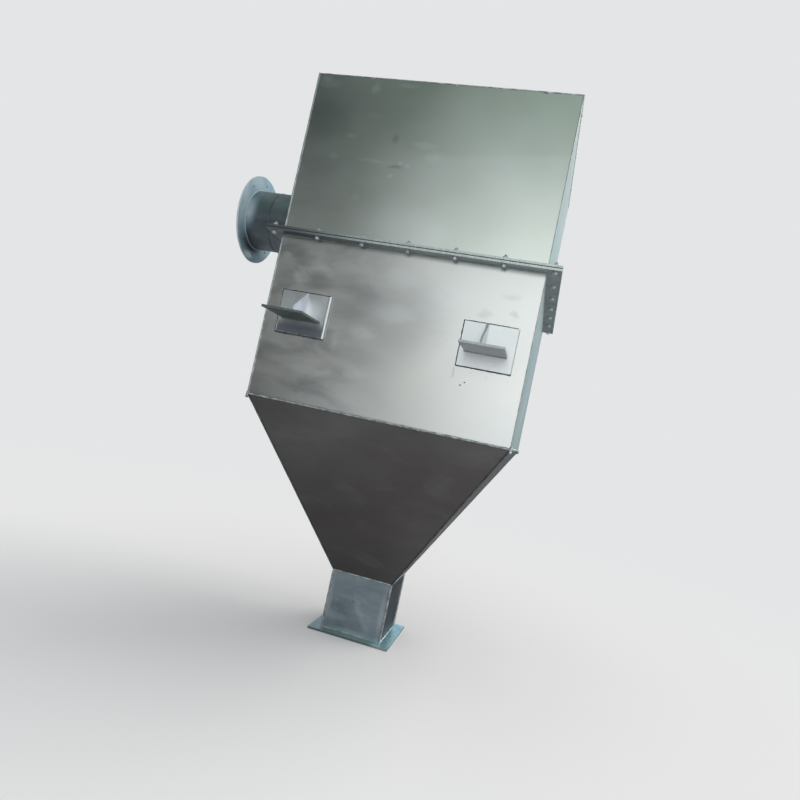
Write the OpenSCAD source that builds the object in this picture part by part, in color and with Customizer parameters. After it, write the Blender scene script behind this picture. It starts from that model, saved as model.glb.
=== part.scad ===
/* [Housing] */
// Width of the housing, left to right
box_w = 1000; // [800:10:1400]
// Depth of the housing, front to back
box_d = 1000; // [800:10:1400]
// Height of the upper tier above the bolted joint
upper_h = 631; // [450:5:900]
// Height of the lower tier below the bolted joint
lower_h = 630; // [450:5:900]
// Thickness of the housing sheets
wall_t = 3; // [2:0.5:6]
// Thickness of the roof sheet
roof_t = 3; // [2:0.5:6]

/* [Bolted joint] */
// How far the joint flanges stand out from the walls
joint_lip = 50; // [44:1:70]
// Thickness of each joint flange
joint_t = 8; // [5:0.5:12]
// Distance from the wall to the line of bolt holes
bolt_line = 26; // [20:1:32]
// Diameter of the bolt holes
bolt_hole_d = 14; // [11:0.5:18]
// Bolt holes along one side, both corners counted
bolts_per_side = 7; // [5:1:11]
// Thickness of the gasket between the tiers
gasket_t = 3; // [1:0.5:4]
// How far the gasket stays back from the flange edge
gasket_inset = 3; // [1:0.5:6]

/* [Hopper] */
// Height of the pyramid hopper
hopper_h = 646; // [450:5:900]
// Thickness of the hopper sheets
hopper_t = 3; // [2:0.5:6]

/* [Discharge spout] */
// Outside width of the square spout
spout_w = 254; // [180:2:340]
// Height of the spout between its flange and the hopper
spout_h = 240; // [120:2:400]
// Thickness of the spout sheets
spout_t = 3; // [2:0.5:6]
// How far the spout flange stands out from the spout
spout_lip = 45; // [30:1:70]
// Thickness of the spout flange
spout_flange_t = 8; // [5:0.5:16]

/* [Duct stubs] */
// Outside diameter of the round stubs
duct_diameter = 270; // [200:5:290]
// Thickness of the rolled stub sheets
duct_t = 3; // [2:0.5:6]
// Outside diameter of the round flanges
duct_flange_diameter = 400; // [370:2:440]
// Thickness of the round flanges
duct_flange_t = 8; // [5:0.5:16]
// Diameter of the circle of holes in the round flanges
duct_hole_circle = 335; // [322:1:348]
// Diameter of each hole in the round flanges
duct_hole_d = 12; // [8:0.5:16]
// Number of holes in each round flange
duct_holes = 8; // [6:1:16]
// Length of the side inlet from the wall to its flange
inlet_len = 390; // [150:1:600]
// Height of the inlet axis above the bolted joint
inlet_rise = 184; // [180:1:220]
// Length of the roof outlet from the roof to its flange
outlet_len = 80; // [40:1:200]

/* [Support lugs] */
// Distance from the side of the housing to the middle of a lug
lug_inset = 150; // [120:5:250]
// Width of the pad plate
pad_w = 190; // [150:2:230]
// Height of the pad plate
pad_h = 160; // [130:2:180]
// Thickness of the pad plate
pad_t = 6; // [4:0.5:12]
// Height of the pad's lower edge above the bottom of the lower tier
pad_base = 252; // [60:2:260]
// Height of the shelf's underside above the pad's lower edge
shelf_rise = 53; // [10:1:60]
// Width of the shelf
shelf_w = 152; // [100:2:190]
// Reach of the shelf from the pad
shelf_reach = 185; // [140:1:260]
// Thickness of the shelf
shelf_t = 8; // [6:0.5:16]
// Reach of the gusset from the pad
gusset_reach = 100; // [60:1:140]
// Height of the gusset's blunt nose
gusset_nose = 30; // [10:1:40]
// Thickness of the gusset
gusset_t = 8; // [5:0.5:12]
// How far a right-hand gusset is welded off its pad's middle, toward the housing's middle
gusset_offset = 13; // [0:1:40]

/* [Hidden] */
$fn = 96;
// Overlap that keeps every cut clean
cut = 1;

// Heights above the underside of the spout flange
spout_z = spout_flange_t;
hopper_z = spout_z + spout_h;
lower_z = hopper_z + hopper_h;
gasket_z = lower_z + lower_h;
upper_z = gasket_z + gasket_t;
roof_z = upper_z + upper_h;
inlet_z = gasket_z + gasket_t / 2 + inlet_rise;
pad_z = lower_z + pad_base;
shelf_z = pad_z + shelf_rise;

// Plan of the housing
half_w = box_w / 2;
half_d = box_d / 2;
duct_r = duct_diameter / 2;
duct_bore_r = duct_r - duct_t;

// Slopes of the hopper, and its sheet thickness measured level
run_w = (box_w - spout_w) / 2;
run_d = (box_d - spout_w) / 2;
level_w = hopper_t * sqrt(1 + pow(run_w / hopper_h, 2));
level_d = hopper_t * sqrt(1 + pow(run_d / hopper_h, 2));
hip_margin = 2 * max(level_w, level_d) / min(run_w, run_d);

// Bolt places along the joint
bolt_x = half_w + bolt_line;
bolt_y = half_d + bolt_line;
pitch_w = 2 * bolt_x / (bolts_per_side - 1);
pitch_d = 2 * bolt_y / (bolts_per_side - 1);

gusset_h = pad_h - shelf_rise - shelf_t;

// Sheet across the front or back, over the full width of a square casing
module cross_sheet(w, d, t, h, side) {
  translate([-w / 2, side < 0 ? -d / 2 : d / 2 - t, 0]) cube([w, t, h]);
}

// Sheet down the left or right, fitted between the front and back sheets
module side_sheet(w, d, t, h, side) {
  translate([side < 0 ? -w / 2 : w / 2 - t, t - d / 2, 0]) cube([t, d - 2 * t, h]);
}

// One vertical hole for every joint bolt
module bolt_holes(z, t) {
  for (i = [0 : bolts_per_side - 1], side = [-1, 1])
    translate([i * pitch_w - bolt_x, side * bolt_y, z - cut])
      cylinder(d = bolt_hole_d, h = t + 2 * cut);
  for (i = [1 : bolts_per_side - 2], side = [-1, 1])
    translate([side * bolt_x, i * pitch_d - bolt_y, z - cut])
      cylinder(d = bolt_hole_d, h = t + 2 * cut);
}

// Flange bar along the front or back, with both corners
module cross_flange(z, side) {
  difference() {
    translate([-half_w - joint_lip, side < 0 ? -half_d - joint_lip : half_d, z])
      cube([box_w + 2 * joint_lip, joint_lip, joint_t]);
    bolt_holes(z, joint_t);
  }
}

// Flange bar down the left or right, between the corner ends
module side_flange(z, side) {
  difference() {
    translate([side < 0 ? -half_w - joint_lip : half_w, -half_d, z])
      cube([joint_lip, box_d, joint_t]);
    bolt_holes(z, joint_t);
  }
}

// Roof sheet with the outlet opening
module roof() {
  color("gainsboro")
    translate([0, 0, roof_z])
      difference() {
        translate([-half_w, -half_d, 0]) cube([box_w, box_d, roof_t]);
        translate([0, 0, -cut]) cylinder(r = duct_bore_r, h = roof_t + 2 * cut);
      }
}

// Rolled round stub along +Z
module stub(len) {
  difference() {
    cylinder(r = duct_r, h = len);
    translate([0, 0, -cut]) cylinder(r = duct_bore_r, h = len + 2 * cut);
  }
}

// Round plate flange along +Z, drilled for its bolts
module round_flange() {
  difference() {
    cylinder(d = duct_flange_diameter, h = duct_flange_t);
    translate([0, 0, -cut]) cylinder(r = duct_bore_r, h = duct_flange_t + 2 * cut);
    for (i = [0 : duct_holes - 1])
      rotate([0, 0, i * 360 / duct_holes])
        translate([duct_hole_circle / 2, 0, -cut]) cylinder(d = duct_hole_d, h = duct_flange_t + 2 * cut);
  }
}

module outlet_stub() {
  color("silver") translate([0, 0, roof_z + roof_t]) stub(outlet_len);
}

module outlet_flange() {
  color("lightgray") translate([0, 0, roof_z + roof_t + outlet_len]) round_flange();
}

// Moves a stub or flange drawn along +Z to the left wall, pointing outward
module at_inlet(distance) {
  translate([-half_w - distance, 0, inlet_z]) rotate([0, -90, 0]) children();
}

module inlet_stub() {
  color("darkgray") at_inlet(0) stub(inlet_len);
}

module inlet_flange() {
  color("lightgray") at_inlet(inlet_len) round_flange();
}

// Upper tier
module upper_cross(side) {
  color("lightgray") translate([0, 0, upper_z]) cross_sheet(box_w, box_d, wall_t, upper_h, side);
}

module upper_left() {
  color("lightgray")
    difference() {
      translate([0, 0, upper_z]) side_sheet(box_w, box_d, wall_t, upper_h, -1);
      at_inlet(-wall_t - cut) cylinder(r = duct_bore_r, h = wall_t + 2 * cut);
    }
}

module upper_right() {
  color("lightgray") translate([0, 0, upper_z]) side_sheet(box_w, box_d, wall_t, upper_h, 1);
}

// Gasket ring that fills the joint from the inside of the walls out to its inset
module joint_gasket() {
  outer = joint_lip - gasket_inset;
  color("dimgray")
    difference() {
      translate([-half_w - outer, -half_d - outer, gasket_z])
        cube([box_w + 2 * outer, box_d + 2 * outer, gasket_t]);
      translate([wall_t - half_w, wall_t - half_d, gasket_z - cut])
        cube([box_w - 2 * wall_t, box_d - 2 * wall_t, gasket_t + 2 * cut]);
      bolt_holes(gasket_z, gasket_t);
    }
}

// Lower tier
module lower_cross(side) {
  color("lightgray") translate([0, 0, lower_z]) cross_sheet(box_w, box_d, wall_t, lower_h, side);
}

module lower_side(side) {
  color("lightgray") translate([0, 0, lower_z]) side_sheet(box_w, box_d, wall_t, lower_h, side);
}

// Point on a hip of the hopper in plan, from 0 at the spout to 1 at the housing
function hip(corner, k) = [
  corner.x * (spout_w / 2 + k * run_w),
  corner.y * (spout_w / 2 + k * run_d)
];

// Four-sided funnel, wide end up, made of two crossing wedges
module funnel(inset_w, inset_d, over) {
  slope_w = run_w / hopper_h;
  slope_d = run_d / hopper_h;
  top_w = half_w - inset_w + over * slope_w;
  top_d = half_d - inset_d + over * slope_d;
  low_w = spout_w / 2 - inset_w - over * slope_w;
  low_d = spout_w / 2 - inset_d - over * slope_d;
  intersection() {
    rotate([90, 0, 0])
      linear_extrude(height = 2 * box_d, center = true)
        polygon([[-low_w, -over], [low_w, -over], [top_w, hopper_h + over], [-top_w, hopper_h + over]]);
    rotate([90, 0, 90])
      linear_extrude(height = 2 * box_w, center = true)
        polygon([[-low_d, -over], [low_d, -over], [top_d, hopper_h + over], [-top_d, hopper_h + over]]);
  }
}

// Sloping sheet of the hopper between two hips, mitred along both
module hopper_sheet(from, to) {
  color("slategray")
    translate([0, 0, hopper_z])
      intersection() {
        difference() {
          funnel(0, 0, 0);
          funnel(level_w, level_d, cut);
        }
        translate([0, 0, -cut])
          linear_extrude(height = hopper_h + 2 * cut)
            polygon([
              hip(from, 1 + hip_margin), hip(to, 1 + hip_margin),
              hip(to, -hip_margin), hip(from, -hip_margin)
            ]);
      }
}

// Square discharge spout
module spout_cross(side) {
  color("lightslategray") translate([0, 0, spout_z]) cross_sheet(spout_w, spout_w, spout_t, spout_h, side);
}

module spout_side(side) {
  color("lightslategray") translate([0, 0, spout_z]) side_sheet(spout_w, spout_w, spout_t, spout_h, side);
}

module spout_flange() {
  outer = spout_w + 2 * spout_lip;
  inner = spout_w - 2 * spout_t;
  color("silver")
    difference() {
      translate([-outer / 2, -outer / 2, 0]) cube([outer, outer, spout_flange_t]);
      translate([-inner / 2, -inner / 2, -cut]) cube([inner, inner, spout_flange_t + 2 * cut]);
    }
}

// Moves a lug drawn on the front wall about x = 0 to one of its four places
module at_lug(side_x, side_y) {
  translate([side_x * (half_w - lug_inset), side_y * half_d, 0])
    rotate([0, 0, side_y < 0 ? 0 : 180]) children();
}

module lug_pad(side_x, side_y) {
  color("gainsboro")
    at_lug(side_x, side_y) translate([-pad_w / 2, -pad_t, pad_z]) cube([pad_w, pad_t, pad_h]);
}

module lug_shelf(side_x, side_y) {
  color("silver")
    at_lug(side_x, side_y)
      translate([-shelf_w / 2, -pad_t - shelf_reach, shelf_z]) cube([shelf_w, shelf_reach, shelf_t]);
}

module lug_gusset(side_x, side_y) {
  offset_x = side_x > 0 ? side_y * gusset_offset : 0;
  color("lightgray")
    at_lug(side_x, side_y)
      translate([offset_x - gusset_t / 2, -pad_t, shelf_z + shelf_t])
        rotate([90, 0, 90])
          linear_extrude(height = gusset_t)
            polygon([[0, 0], [-gusset_reach, 0], [-gusset_reach, gusset_nose], [0, gusset_h]]);
}

roof();
outlet_stub();
outlet_flange();
upper_cross(-1);  // upper_front
upper_cross(1);  // upper_back
upper_left();
upper_right();
color("gainsboro") cross_flange(upper_z, -1);  // upper_flange_front
color("gainsboro") cross_flange(upper_z, 1);  // upper_flange_back
color("gainsboro") side_flange(upper_z, -1);  // upper_flange_left
color("gainsboro") side_flange(upper_z, 1);  // upper_flange_right
joint_gasket();
color("silver") cross_flange(gasket_z - joint_t, -1);  // lower_flange_front
color("silver") cross_flange(gasket_z - joint_t, 1);  // lower_flange_back
color("silver") side_flange(gasket_z - joint_t, -1);  // lower_flange_left
color("silver") side_flange(gasket_z - joint_t, 1);  // lower_flange_right
lower_cross(-1);  // lower_front
lower_cross(1);  // lower_back
lower_side(-1);  // lower_left
lower_side(1);  // lower_right
inlet_stub();
inlet_flange();
hopper_sheet([-1, -1], [1, -1]);  // hopper_front
hopper_sheet([1, 1], [-1, 1]);  // hopper_back
hopper_sheet([-1, 1], [-1, -1]);  // hopper_left
hopper_sheet([1, -1], [1, 1]);  // hopper_right
spout_cross(-1);  // spout_front
spout_cross(1);  // spout_back
spout_side(-1);  // spout_left
spout_side(1);  // spout_right
spout_flange();
lug_pad(-1, -1);  // lug_pad_front_left
lug_shelf(-1, -1);  // lug_shelf_front_left
lug_gusset(-1, -1);  // lug_gusset_front_left
lug_pad(1, -1);  // lug_pad_front_right
lug_shelf(1, -1);  // lug_shelf_front_right
lug_gusset(1, -1);  // lug_gusset_front_right
lug_pad(-1, 1);  // lug_pad_back_left
lug_shelf(-1, 1);  // lug_shelf_back_left
lug_gusset(-1, 1);  // lug_gusset_back_left
lug_pad(1, 1);  // lug_pad_back_right
lug_shelf(1, 1);  // lug_shelf_back_right
lug_gusset(1, 1);  // lug_gusset_back_right
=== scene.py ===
# Box separator in stainless sheet: two bolted tiers, pyramid hopper, square spout and round duct stubs.
import math
import random
import bpy
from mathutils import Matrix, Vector


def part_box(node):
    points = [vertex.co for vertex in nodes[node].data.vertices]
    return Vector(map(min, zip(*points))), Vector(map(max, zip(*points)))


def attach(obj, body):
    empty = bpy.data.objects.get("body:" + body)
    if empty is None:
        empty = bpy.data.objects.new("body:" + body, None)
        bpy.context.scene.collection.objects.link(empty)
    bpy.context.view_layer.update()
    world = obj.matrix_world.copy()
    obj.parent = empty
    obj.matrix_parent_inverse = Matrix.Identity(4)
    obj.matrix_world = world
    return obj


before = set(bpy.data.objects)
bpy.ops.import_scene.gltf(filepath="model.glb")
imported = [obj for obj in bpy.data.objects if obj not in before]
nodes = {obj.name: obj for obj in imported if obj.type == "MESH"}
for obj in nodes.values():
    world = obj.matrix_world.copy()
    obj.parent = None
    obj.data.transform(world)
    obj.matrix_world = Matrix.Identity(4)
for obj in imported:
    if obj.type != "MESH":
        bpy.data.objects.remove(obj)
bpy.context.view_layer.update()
print("frame loaded:", len(nodes), "nodes")

# Camera: close in front of the right half, rolled as the picture was held
camera = {
    "place": (0.5767, -2.6273, 0.8951),
    "turn": (92.392, -12.173, 12.533),
    "lens": 27.52,
    "sensor": 36.0,
}


def setCamera():
    bpy.ops.object.camera_add(location=camera["place"])
    cam = bpy.context.object
    cam.name = "viewCamera"
    cam.rotation_euler = [math.radians(a) for a in camera["turn"]]
    cam.data.sensor_width = camera["sensor"]
    cam.data.lens = camera["lens"]
    bpy.context.scene.camera = cam


setCamera()

# Places that the pieces are set on, read from the frame
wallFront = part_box("lower_front")[0].y
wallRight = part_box("lower_right")[1].x
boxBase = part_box("lower_front")[0].z
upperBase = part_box("upper_front")[0].z
roofBase, roofTop = (corner.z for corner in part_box("roof"))
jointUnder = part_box("lower_flange_front")[0].z
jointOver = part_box("upper_flange_front")[1].z
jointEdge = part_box("upper_flange_front")[1].x
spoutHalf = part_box("spout_right")[1].x
spoutBase, hopperBase = (corner.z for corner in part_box("spout_front"))
inletLow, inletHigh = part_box("inlet_stub")
inletAxis = (inletLow.z + inletHigh.z) / 2
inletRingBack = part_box("inlet_flange")[1].x
outletLow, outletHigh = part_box("outlet_stub")
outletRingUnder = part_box("outlet_flange")[0].z
ductRadius = (outletHigh.x - outletLow.x) / 2
collarSeam = 0.775  # how far left of the middle the duct's two lengths are welded together


# sRGB hex to the linear colour that a socket takes
def linear(hexColour):
    parts = [int(hexColour[i:i + 2], 16) / 255 for i in (1, 3, 5)]
    return [p / 12.92 if p <= 0.04045 else ((p + 0.055) / 1.055) ** 2.4 for p in parts] + [1.0]


# Feeds a node's inputs: named in a dictionary, or a list in the order of those that are live. A socket is
# linked, a hex colour is turned to linear, and anything else is set
def feed(tree, node, inputs):
    if isinstance(inputs, dict):
        pairs = [(node.inputs[key], value) for key, value in inputs.items()]
    else:
        pairs = zip([socket for socket in node.inputs if socket.enabled], inputs)
    for socket, value in pairs:
        if isinstance(value, bpy.types.NodeSocket):
            tree.links.new(value, socket)
        else:
            socket.default_value = linear(value) if isinstance(value, str) else value


# Adds one node with its settings and links, and gives its first live output
def addNode(tree, kind, inputs=(), stops=(), **settings):
    node = tree.nodes.new("ShaderNode" + kind)
    for key, value in settings.items():
        setattr(node, key, value)
    if stops:
        band = node.color_ramp.elements
        while len(band) < len(stops):
            band.new(0.5)
        for element, (spot, tone) in zip(band, stops):
            element.position = spot
            element.color = linear(tone) if isinstance(tone, str) else (tone, tone, tone, 1)
    feed(tree, node, inputs)
    return next((socket for socket in node.outputs if socket.enabled), None)


# A new material's tree and shader, and the Object coordinates that its patterns lie on
def newMaterial(name):
    material = bpy.data.materials.new(name)
    material.use_nodes = True
    tree = material.node_tree
    tree.nodes.clear()
    shader = addNode(tree, "BsdfPrincipled")
    addNode(tree, "OutputMaterial", [shader])
    return material, tree, shader.node, addNode(tree, "TexCoord").node.outputs["Object"]


# 1 on the seams, falling to 0 at their width. A seam is the roof's "rim", the hopper's "hip", or a place on
# x or z
def seamNearness(tree, axes, seams):
    nearest = None
    for kind, at, width in seams:
        sides = [addNode(tree, "Math", [axes[i]], operation="ABSOLUTE") for i in (0, 1)]
        line = axes[2] if kind == "z" else sides[0]
        if kind == "hip":
            at = sides[1]
        elif kind == "rim":
            line = addNode(tree, "Math", sides, operation="MAXIMUM")
        across = addNode(tree, "Math", [line, at], operation="SUBTRACT")
        across = addNode(tree, "Math", [across], operation="ABSOLUTE")
        near = addNode(tree, "MapRange", [across, 0.0, width, 1.0, 0.0], interpolation_type="SMOOTHSTEP")
        nearest = near if nearest is None else addNode(tree, "Math", [nearest, near], operation="MAXIMUM")
    return nearest


# Soft marks at given places, left by hands and standing as painted highlights and painted shade: (x, y, z),
# half width, half height, how strong
def handMarks(tree, place, marks):
    total = None
    for spot, wide, high, strength in marks:
        moved = addNode(tree, "Mapping", {
            "Vector": place, "Location": spot, "Scale": (wide, wide, high)}, vector_type="TEXTURE")
        far = addNode(tree, "VectorMath", [moved], operation="LENGTH")
        mark = addNode(tree, "MapRange", [far, 0.25, 1.0, strength, 0.0], interpolation_type="SMOOTHSTEP")
        total = mark if total is None else addNode(tree, "Math", [total, mark], operation="ADD")
    return total


# Cold-rolled stainless sheet with the mill's 2B finish: a soft cloudy sheen with no grain to see. The shop
# leaves finger smudges and rag marks on it, thin scratches from handling, and straw to grey heat tint along
# the welds
def coldRolledSheet(name, look):
    material, tree, shader, place = newMaterial(name)
    axes = addNode(tree, "SeparateXYZ", [place]).node.outputs

    # Smudges are wider than high, as a hand or a rag wipes sideways
    stretched = addNode(tree, "Mapping", {"Vector": place, "Scale": (0.42, 0.42, 1.0)})
    clouds = addNode(tree, "TexNoise", {
        "Vector": place, "Scale": 1 / look["cloudSize"], "Detail": 2.0, "Roughness": 0.4})
    smudges = addNode(tree, "TexNoise", {
        "Vector": stretched, "Scale": 1 / look["smudgeSize"], "Detail": 3.0, "Roughness": 0.55,
        "Distortion": 0.6})
    rag = addNode(tree, "TexNoise", {
        "Vector": stretched, "Scale": 3.1 / look["smudgeSize"], "Detail": 3.0, "Roughness": 0.7})
    colour = addNode(tree, "ValToRGB", [clouds], stops=[
        (0.32, look["dark"]), (0.5, look["mid"]), (0.7, look["light"])])

    # Dull and pale smudges and the rag's marks, strongest where the sheet was handled. On the tiers the
    # dull smudges thicken towards the left as painted shade
    zoneFrom, zoneTo, zoneLeast = look["handled"]
    handled = addNode(
        tree, "MapRange", [axes[0], zoneFrom, zoneTo, 1.0, zoneLeast], interpolation_type="SMOOTHSTEP")
    for pattern, shows, by, tone in (
        (smudges, [(0.5, 0.0), (0.66, 1.0)], "dullBy", "dullColour"),
        (smudges, [(0.36, 1.0), (0.47, 0.0)], "paleBy", "paleColour"),
        (rag, [(0.35, 1.0), (0.62, 0.0)], "ragBy", "paleColour"),
    ):
        mask = addNode(tree, "ValToRGB", [pattern], stops=shows)
        mask = addNode(tree, "Math", [mask, handled], operation="MULTIPLY")
        mask = addNode(tree, "Math", [mask, look[by]], operation="MULTIPLY")
        colour = addNode(tree, "Mix", [mask, colour, look[tone]], data_type="RGBA")

    # The edges of the hand marks, and of the marks that stand as painted shade and painted highlights,
    # wander, in waves of about 30 mm
    if look.get("darkMarksAndShade"):
        by = look["wander"]
        wander = addNode(tree, "TexNoise", {"Vector": stretched, "Scale": 34.0, "Detail": 4.0})
        shifted = addNode(
            tree, "VectorMath", [wander.node.outputs["Color"], (by, 0.0, by * 0.7), place],
            operation="MULTIPLY_ADD")
        centred = addNode(tree, "Mapping", {"Vector": shifted, "Location": (-by / 2, 0.0, -by * 0.35)})
        for marks, tone in (("darkMarksAndShade", "dullColour"), ("paleMarksAndHighlights", "paleColour")):
            mask = handMarks(tree, centred, look[marks])
            colour = addNode(tree, "Mix", [mask, colour, look[tone]], data_type="RGBA")

    # A painted reflection: on the front, the sheet is paler below a straight sloping line, as a reflected
    # edge shows
    if look.get("reflectedEdge"):
        slope, level, across, strength = look["reflectedEdge"]
        line = addNode(tree, "Math", [axes[0], slope, level], operation="MULTIPLY_ADD")
        over = addNode(tree, "Math", [axes[2], line], operation="SUBTRACT")
        film = addNode(tree, "Math", [axes[1], wallFront + 0.001], operation="LESS_THAN")
        for value, ends in (
            (over, (-0.25, 0.004, 0.0, 1.0)), (over, (-0.01, 0.018, 1.0, 0.0)),
            (axes[0], (*across, 0.0, strength)),
        ):
            part = addNode(tree, "MapRange", [value, *ends], interpolation_type="SMOOTHSTEP")
            film = addNode(tree, "Math", [film, part], operation="MULTIPLY")
        colour = addNode(tree, "Mix", [film, colour, look["paleColour"]], data_type="RGBA")

    # Scratches: short thin lines at two slants, 2 mm wide so that they show, finer on the real sheet
    scratches = None
    for slant, seed in ((24, 0.0), (-37, 4.3)):
        turned = addNode(tree, "Mapping", {
            "Vector": place, "Location": (seed, seed, seed),
            "Rotation": (0.0, math.radians(slant), math.radians(3)),
            "Scale": (look["scratchLong"], look["scratchLong"], 0.009)}, vector_type="TEXTURE")
        cell = addNode(tree, "TexVoronoi", {"Vector": turned, "Scale": 1.0}, feature="F1")
        line = addNode(tree, "MapRange", [cell, 0.05, 0.16, 1.0, 0.0])
        scratches = line if scratches is None else addNode(
            tree, "Math", [scratches, line], operation="MAXIMUM")
    mask = addNode(tree, "Math", [scratches, look["scratchBy"]], operation="MULTIPLY")
    colour = addNode(tree, "Mix", [mask, colour, look["paleColour"]], data_type="RGBA")

    # Heat tint beside the welds, in patches of about 35 mm along them. Next to the joint's flanges the tint
    # bands also stand as painted shade
    near = seamNearness(tree, axes, look["seams"])
    uneven = addNode(tree, "TexNoise", {"Vector": place, "Scale": 28.0, "Detail": 2.0})
    uneven = addNode(tree, "MapRange", [uneven, 0.35, 0.62, 0.25, 1.0])
    tint = addNode(tree, "ValToRGB", [near], stops=[
        (0.15, "#a39c8c"), (0.5, "#857d7c"), (0.8, "#6b7076"), (1.0, "#8b9196")])
    mask = addNode(tree, "Math", [near, uneven], operation="MULTIPLY")
    mask = addNode(tree, "Math", [mask, look["tintBy"]], operation="MULTIPLY")
    colour = addNode(tree, "Mix", [mask, colour, tint], data_type="RGBA")

    # Smudges are duller than the clean sheet, and the sheet between its welds isn't dead flat
    smooth, rough = look["roughness"]
    smudged = addNode(tree, "Math", [handled, 0.5], operation="MULTIPLY")
    gloss = addNode(tree, "Math", [smudges, smudged, clouds], operation="MULTIPLY_ADD")
    gloss = addNode(tree, "MapRange", [gloss, 0.35, 0.85, smooth, rough])
    buckles = addNode(tree, "TexNoise", {
        "Vector": place, "Scale": 1 / look["buckleSize"], "Detail": 1.0, "Roughness": 0.35})
    bump = addNode(tree, "Bump", {"Strength": 1.0, "Distance": look["buckleDepth"], "Height": buckles})
    feed(tree, shader, {"Base Color": colour, "Metallic": 1.0, "Roughness": gloss, "Normal": bump})
    return material


# Sizes are in metres. handled is where along x the smudges reach: all, least, and how much at the least.
# On the tiers it also paints shade, darker towards the left
sheetLook = {
    "dark": "#bcc2be", "mid": "#c8cdc9", "light": "#d3d7d4",
    "dullColour": "#8b9190", "dullBy": 0.3, "paleColour": "#e6eae9", "paleBy": 0.15, "wander": 0.035,
    "cloudSize": 0.42, "smudgeSize": 0.12, "handled": (-0.45, 0.25, 0.1), "ragBy": 0.06,
    "scratchLong": 0.2, "scratchBy": 0.1, "roughness": (0.28, 0.35),
    "buckleSize": 0.34, "buckleDepth": 0.0024, "tintBy": 0.4,
}
# The upper tier's sheet is tinted slightly green as a painted reflection of greenery
upperLook = {
    **sheetLook, "dark": "#bfc5be", "mid": "#ccd1cb", "light": "#d7dad5", "dullBy": 0.2,
    "handled": (-0.55, 0.2, 0.04), "smudgeSize": 0.15, "roughness": (0.28, 0.33),
    "seams": [("z", upperBase + 0.008, 0.02)],
    # The broad dark marks towards the upper left are painted shade and the broad pale marks across the
    # middle and the right are painted highlights; the small marks are smudges
    "darkMarksAndShade": [((-0.44, -0.5, 1.98), 0.16, 0.11, 0.35), ((-0.143, -0.5, 1.935), 0.02, 0.026, 0.4),
                  ((-0.123, -0.5, 1.827), 0.035, 0.012, 0.4), ((-0.42, -0.5, 1.80), 0.12, 0.06, 0.2),
                  ((-0.42, -0.5, 2.07), 0.24, 0.15, 0.3)],
    "paleMarksAndHighlights": [((-0.321, -0.5, 1.927), 0.03, 0.012, 0.5), ((-0.37, -0.5, 1.841), 0.03, 0.018, 0.35),
                  ((-0.213, -0.5, 1.841), 0.08, 0.01, 0.4), ((-0.109, -0.5, 1.842), 0.014, 0.012, 0.6),
                  ((-0.079, -0.5, 1.836), 0.012, 0.01, 0.6), ((-0.132, -0.5, 1.792), 0.014, 0.014, 0.6),
                  ((-0.03, -0.5, 1.92), 0.07, 0.02, 0.35), ((0.015, -0.5, 1.88), 0.05, 0.03, 0.3),
                  ((-0.244, -0.5, 1.696), 0.025, 0.018, 0.25), ((-0.245, -0.5, 2.012), 0.05, 0.02, 0.2),
                  ((-0.45, -0.5, 2.125), 0.07, 0.03, 0.35), ((-0.262, -0.5, 2.12), 0.025, 0.035, 0.5),
                  ((-0.14, -0.5, 2.139), 0.06, 0.012, 0.4), ((-0.04, -0.5, 1.60), 0.24, 0.13, 0.35),
                  ((-0.462, -0.5, 2.145), 0.03, 0.02, 0.4),
                  ((0.3, -0.5, 1.97), 0.36, 0.22, 0.35)],
    "reflectedEdge": (0.11, 1.878, (-0.1, 0.05), 0.3),  # slope, height at x = 0, where it begins, how pale
}
lowerLook = {
    **sheetLook, "dark": "#c7c7c3", "mid": "#cfcfcc", "light": "#d8d9d7", "dullBy": 0.5, "paleBy": 0.35,
    "smudgeSize": 0.085, "handled": (-0.42, 0.1, 0.02), "wander": 0.06, "dullColour": "#8d8f92",
    "seams": [("z", jointUnder, 0.011), ("z", boxBase, 0.012)],
    # The broadest dark mark, across the middle, is painted shade; the other marks are smudges
    "darkMarksAndShade": [((-0.455, -0.5, 1.462), 0.09, 0.045, 0.48), ((-0.392, -0.5, 1.43), 0.08, 0.036, 0.42),
                  ((-0.318, -0.5, 1.364), 0.085, 0.04, 0.42), ((-0.451, -0.5, 1.346), 0.06, 0.07, 0.36),
                  ((-0.205, -0.5, 1.375), 0.09, 0.05, 0.26), ((-0.132, -0.5, 1.343), 0.08, 0.045, 0.26),
                  ((-0.182, -0.5, 1.264), 0.09, 0.05, 0.28), ((-0.28, -0.5, 0.962), 0.16, 0.036, 0.32),
                  ((-0.13, -0.5, 1.113), 0.15, 0.045, 0.2), ((0.322, -0.5, 1.341), 0.03, 0.02, 0.2),
                  ((0.421, -0.5, 1.354), 0.02, 0.02, 0.25), ((0.40, -0.5, 1.416), 0.045, 0.02, 0.15),
                  ((0.243, -0.5, 1.121), 0.008, 0.03, 0.3), ((-0.01, -0.5, 1.27), 0.27, 0.24, 0.42)],
    "paleMarksAndHighlights": [((-0.469, -0.5, 1.44), 0.016, 0.02, 0.5), ((-0.338, -0.5, 1.42), 0.06, 0.032, 0.45),
                  ((-0.295, -0.5, 1.404), 0.04, 0.024, 0.35), ((-0.386, -0.5, 1.372), 0.045, 0.04, 0.4),
                  ((-0.11, -0.5, 1.198), 0.075, 0.04, 0.35), ((-0.206, -0.5, 1.15), 0.02, 0.05, 0.35),
                  ((-0.27, -0.5, 1.023), 0.13, 0.024, 0.4), ((-0.109, -0.5, 1.045), 0.06, 0.03, 0.3),
                  ((-0.094, -0.5, 0.954), 0.12, 0.045, 0.25), ((-0.42, -0.5, 1.10), 0.06, 0.014, 0.3),
                  ((-0.028, -0.5, 1.417), 0.11, 0.06, 0.2), ((-0.01, -0.5, 1.285), 0.11, 0.05, 0.22)],
}
upperSheet = coldRolledSheet("stainless2bUpper", upperLook)
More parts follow.
